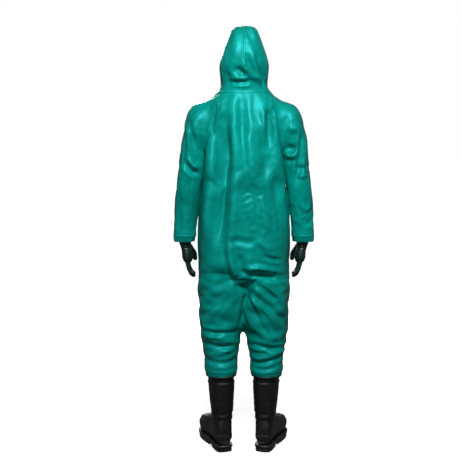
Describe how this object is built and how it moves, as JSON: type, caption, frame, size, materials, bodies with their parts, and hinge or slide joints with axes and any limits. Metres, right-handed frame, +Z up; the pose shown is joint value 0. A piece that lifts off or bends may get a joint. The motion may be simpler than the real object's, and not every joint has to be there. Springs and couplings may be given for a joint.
{
  "type": "chemical protective suit",
  "caption": "Hooded one-piece chemical protective coverall in glossy coated fabric with fixed gloves, a front zip under a storm flap, and rubber boots, standing as it is worn.",
  "frame": {"origin": "on the floor midway between the two boot shafts, under the middle of the body", "axes": "+Z up, -Y the way the suit faces, +X the wearer's left"},
  "size_m": [0.592, 0.3599, 1.78],
  "materials": {
    "coated_fabric": "glossy PVC-coated green fabric",
    "fabric_inside": "matt woven inner face",
    "glove_rubber": "dark green rubber, satin",
    "black_rubber": "black rubber, satin",
    "zip_plastic": "moulded black plastic",
    "ring_plastic": "moulded green plastic",
    "steel": "plated steel"
  },
  "bodies": {
    "suit_body": {"back_panel": "coated_fabric", "front_left_panel": "coated_fabric", "front_right_panel": "coated_fabric", "seat_back": "coated_fabric", "seat_front": "coated_fabric", "zip_tape_left": "zip_plastic", "zip_tape_right": "zip_plastic", "zip_backing": "fabric_inside", "zip_bottom_stop": "steel", "snap_stud_1": "steel", "snap_stud_2": "steel", "snap_stud_3": "steel", "snap_stud_4": "steel", "snap_stud_5": "steel"},
    "hood": {"hood_left": "coated_fabric", "hood_right": "coated_fabric", "hood_seam_tape": "fabric_inside", "face_seal": "black_rubber"},
    "upper_arm_left": {"sleeve_upper_left": "coated_fabric", "sleeve_elbow_left": "coated_fabric"},
    "forearm_left": {"sleeve_lower_left": "coated_fabric", "outer_cuff_ring_left": "ring_plastic", "inner_cuff_ring_left": "ring_plastic", "glove_left": "glove_rubber"},
    "thigh_left": {"trouser_thigh_left": "coated_fabric", "trouser_knee_left": "coated_fabric"},
    "shin_left": {"trouser_shin_left": "coated_fabric", "boot_seal_ring_left": "black_rubber", "boot_upper_left": "black_rubber", "boot_outsole_left": "black_rubber", "boot_midsole_plate_left": "steel", "boot_insole_left": "fabric_inside", "boot_toe_cap_left": "steel"},
    "upper_arm_right": {"sleeve_upper_right": "coated_fabric", "sleeve_elbow_right": "coated_fabric"},
    "forearm_right": {"sleeve_lower_right": "coated_fabric", "outer_cuff_ring_right": "ring_plastic", "inner_cuff_ring_right": "ring_plastic", "glove_right": "glove_rubber"},
    "thigh_right": {"trouser_thigh_right": "coated_fabric", "trouser_knee_right": "coated_fabric"},
    "shin_right": {"trouser_shin_right": "coated_fabric", "boot_seal_ring_right": "black_rubber", "boot_upper_right": "black_rubber", "boot_outsole_right": "black_rubber", "boot_midsole_plate_right": "steel", "boot_insole_right": "fabric_inside", "boot_toe_cap_right": "steel"},
    "storm_flap": {"storm_flap": "coated_fabric", "snap_cap_1": "steel", "snap_cap_2": "steel", "snap_cap_3": "steel", "snap_cap_4": "steel", "snap_cap_5": "steel"},
    "zip_slider": {"zip_slider": "steel"},
    "zip_pull": {"zip_pull": "steel"}
  },
  "joints": [
    {"name": "hood_nod", "type": "hinge", "parent": "suit_body", "child": "hood", "pos_m": [0, 0, 1.63], "axis": [1, 0, 0], "range_deg": [-20, 30]},
    {"name": "shoulder_left", "type": "hinge", "parent": "suit_body", "child": "upper_arm_left", "pos_m": [0.172, 0.005, 1.372], "axis": [-1, 0, 0], "range_deg": [-30, 90]},
    {"name": "elbow_left", "type": "hinge", "parent": "upper_arm_left", "child": "forearm_left", "pos_m": [0.228, 0, 1.1], "axis": [-1, 0, 0], "range_deg": [0, 90], "deforming": ["sleeve_elbow_left"]},
    {"name": "hip_left", "type": "hinge", "parent": "suit_body", "child": "thigh_left", "pos_m": [0.096, 0, 0.88], "axis": [-1, 0, 0], "range_deg": [-20, 80], "deforming": ["seat_back", "seat_front"]},
    {"name": "knee_left", "type": "hinge", "parent": "thigh_left", "child": "shin_left", "pos_m": [0.096, 0.004, 0.505], "axis": [1, 0, 0], "range_deg": [0, 90], "deforming": ["trouser_knee_left"]},
    {"name": "shoulder_right", "type": "hinge", "parent": "suit_body", "child": "upper_arm_right", "pos_m": [-0.172, 0.005, 1.372], "axis": [-1, 0, 0], "range_deg": [-30, 90]},
    {"name": "elbow_right", "type": "hinge", "parent": "upper_arm_right", "child": "forearm_right", "pos_m": [-0.228, 0, 1.1], "axis": [-1, 0, 0], "range_deg": [0, 90], "deforming": ["sleeve_elbow_right"]},
    {"name": "hip_right", "type": "hinge", "parent": "suit_body", "child": "thigh_right", "pos_m": [-0.096, 0, 0.88], "axis": [-1, 0, 0], "range_deg": [-20, 80], "deforming": ["seat_back", "seat_front"]},
    {"name": "knee_right", "type": "hinge", "parent": "thigh_right", "child": "shin_right", "pos_m": [-0.096, 0.004, 0.505], "axis": [1, 0, 0], "range_deg": [0, 90], "deforming": ["trouser_knee_right"]},
    {"name": "storm_flap_hinge", "type": "hinge", "parent": "suit_body", "child": "storm_flap", "pos_m": [0.042, -0.11592, 1.19344], "axis": [0, 0.0804, 0.9968], "range_deg": [0, 150]},
    {"name": "zip_slide", "type": "slide", "parent": "suit_body", "child": "zip_slider", "axis": [0, -0.0804, -0.9968], "range_m": [0, 0.5077]},
    {"name": "zip_pull_hinge", "type": "hinge", "parent": "zip_slider", "child": "zip_pull", "pos_m": [0, -0.10135, 1.44746], "axis": [-1, 0, 0], "range_deg": [0, 160]}
  ]
}
